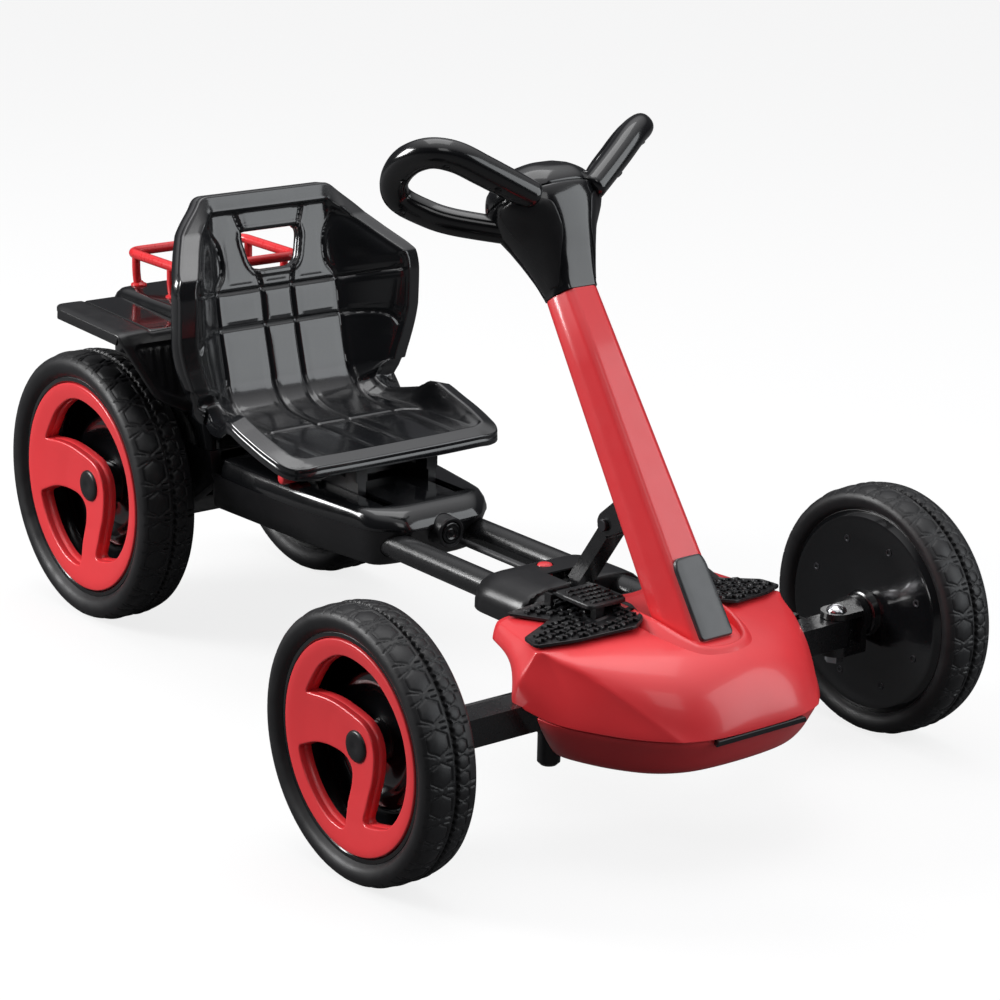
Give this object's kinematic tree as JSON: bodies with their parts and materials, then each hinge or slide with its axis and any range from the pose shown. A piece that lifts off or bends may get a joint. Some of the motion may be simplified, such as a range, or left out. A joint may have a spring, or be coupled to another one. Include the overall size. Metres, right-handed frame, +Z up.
{
  "type": "battery ride-on go kart",
  "caption": "Child's battery go kart: red front shell on a wide steered axle, raked steering column with loop handles, bucket seat on a sliding frame, rack over the rear wheels.",
  "frame": {"origin": "centre of the kart's bounding box at ground height, on the mid-plane", "axes": "+Z up, the kart faces -Y, +X is the rider's left; ground is z = 0"},
  "size_m": [0.6916, 1.0662, 0.6177],
  "materials": {
    "black_gloss": "polished moulded plastic",
    "black_satin": "satin moulded plastic",
    "black_textured": "raised grip blocks on satin rubber",
    "red_gloss": "polished moulded plastic",
    "red_paint": "gloss powder coat on tube",
    "black_paint": "semi-gloss powder coat on steel",
    "tyre_black": "matt tread, satin side wall",
    "bright_steel": "bright zinc plate"
  },
  "bodies": {
    "rear_chassis": {"main_tubes": "black_paint", "rear_bracket": "black_paint", "lower_tray": "black_gloss", "body_cover": "black_gloss", "fender_deck": "black_gloss", "luggage_rack": "red_paint", "rear_axle": "bright_steel", "rear_axle_nuts": "bright_steel", "battery": "black_satin", "control_module": "black_satin", "gearboxes": "black_satin", "drive_motors": "bright_steel", "wiring_harness": "black_satin"},
    "power_button": {"power_button": "black_gloss"},
    "seat": {"seat_shell": "black_gloss", "seat_bracket": "black_satin", "seat_screws": "bright_steel"},
    "seat_lock_knob": {"seat_lock_knob": "red_gloss"},
    "front_chassis": {"slide_sleeves": "black_paint", "front_bracket": "black_paint", "clamp_cover": "black_satin", "axle_beam": "black_paint", "kingpin_bolts": "bright_steel", "bump_feet": "black_satin", "shell_upper": "red_gloss", "shell_lower": "red_gloss", "bumper_strip": "black_satin", "foot_pad_right": "black_textured", "foot_pad_left": "black_textured", "pedal_switch": "black_satin", "column": "red_gloss", "column_panel": "black_gloss", "column_bushes": "black_satin", "strut": "black_paint", "strut_bolts": "bright_steel"},
    "frame_lock_button": {"frame_lock_button": "red_gloss"},
    "accelerator_pedal": {"accelerator_pedal": "black_textured"},
    "steering_head": {"head_shell": "black_gloss", "handle_core": "black_satin", "handle_loops": "black_gloss", "steering_shaft": "bright_steel"},
    "tie_rod": {"tie_rod": "black_paint"},
    "knuckle_right": {"knuckle_right": "black_paint"},
    "knuckle_left": {"knuckle_left": "black_paint"},
    "front_wheel_right": {"front_tyre_right": "tyre_black", "front_rim_right": "black_satin", "front_cover_right": "red_gloss"},
    "front_wheel_left": {"front_tyre_left": "tyre_black", "front_rim_left": "black_satin", "front_cover_left": "red_gloss"},
    "rear_wheel_right": {"rear_tyre_right": "tyre_black", "rear_rim_right": "black_satin", "rear_cover_right": "red_gloss", "drive_gear_right": "black_satin"},
    "rear_wheel_left": {"rear_tyre_left": "tyre_black", "rear_rim_left": "black_satin", "rear_cover_left": "red_gloss", "drive_gear_left": "black_satin"},
    "motor_pinion_right": {"motor_pinion_right": "bright_steel"},
    "motor_pinion_left": {"motor_pinion_left": "bright_steel"}
  },
  "joints": [
    {"name": "frame_slide", "type": "slide", "parent": "rear_chassis", "child": "front_chassis", "axis": [0, -1, 0], "range_m": [-0.08, 0.06]},
    {"name": "seat_slide", "type": "slide", "parent": "rear_chassis", "child": "seat", "axis": [0, -1, 0], "range_m": [0, 0.045]},
    {"name": "seat_lock_press", "type": "slide", "parent": "seat", "child": "seat_lock_knob", "axis": [1, 0, 0], "range_m": [0, 0.004], "stiffness_N_per_m": 200},
    {"name": "power_button_press", "type": "slide", "parent": "rear_chassis", "child": "power_button", "axis": [0, 1, 0], "range_m": [0, 0.003], "stiffness_N_per_m": 200},
    {"name": "frame_lock_press", "type": "slide", "parent": "front_chassis", "child": "frame_lock_button", "axis": [0, 0, -1], "range_m": [0, 0.003], "stiffness_N_per_m": 200},
    {"name": "accelerator_press", "type": "hinge", "parent": "front_chassis", "child": "accelerator_pedal", "pos_m": [0, -0.33313, 0.208], "axis": [1, 0, 0], "range_deg": [0, 5], "stiffness_Nm_per_rad": 1},
    {"name": "steer", "type": "hinge", "parent": "front_chassis", "child": "steering_head", "pos_m": [0, -0.40473, 0.2431], "axis": [0, 0.5592, 0.829], "range_deg": [-35, 35]},
    {"name": "tie_rod_shift", "type": "slide", "parent": "front_chassis", "child": "tie_rod", "axis": [1, 0, 0], "range_m": [-0.0245, 0.0245]},
    {"name": "knuckle_steer_right", "type": "hinge", "parent": "front_chassis", "child": "knuckle_right", "pos_m": [-0.254, -0.36713, 0.116], "axis": [0, 0, 1], "range_deg": [-25, 25]},
    {"name": "knuckle_steer_left", "type": "hinge", "parent": "front_chassis", "child": "knuckle_left", "pos_m": [0.254, -0.36713, 0.116], "axis": [0, 0, 1], "range_deg": [-25, 25]},
    {"name": "front_wheel_spin_right", "type": "hinge", "parent": "knuckle_right", "child": "front_wheel_right", "pos_m": [-0.3175, -0.36713, 0.127], "axis": [1, 0, 0], "continuous": true},
    {"name": "front_wheel_spin_left", "type": "hinge", "parent": "knuckle_left", "child": "front_wheel_left", "pos_m": [0.3175, -0.36713, 0.127], "axis": [1, 0, 0], "continuous": true},
    {"name": "rear_wheel_spin_right", "type": "hinge", "parent": "rear_chassis", "child": "rear_wheel_right", "pos_m": [-0.1475, 0.38327, 0.14986], "axis": [1, 0, 0], "continuous": true},
    {"name": "rear_wheel_spin_left", "type": "hinge", "parent": "rear_chassis", "child": "rear_wheel_left", "pos_m": [0.1475, 0.38327, 0.14986], "axis": [1, 0, 0], "continuous": true},
    {"name": "motor_spin_right", "type": "hinge", "parent": "rear_chassis", "child": "motor_pinion_right", "pos_m": [-0.085, 0.3469, 0.14986], "axis": [1, 0, 0], "continuous": true},
    {"name": "motor_spin_left", "type": "hinge", "parent": "rear_chassis", "child": "motor_pinion_left", "pos_m": [0.085, 0.3469, 0.14986], "axis": [1, 0, 0], "continuous": true}
  ],
  "couplings": [
    {"joint": "tie_rod_shift", "follows": "steer", "m_per_rad": -0.0394},
    {"joint": "knuckle_steer_right", "follows": "steer", "ratio": 0.7},
    {"joint": "knuckle_steer_left", "follows": "steer", "ratio": 0.7},
    {"joint": "motor_spin_right", "follows": "rear_wheel_spin_right", "ratio": -3.1429},
    {"joint": "motor_spin_left", "follows": "rear_wheel_spin_left", "ratio": -3.1429}
  ]
}
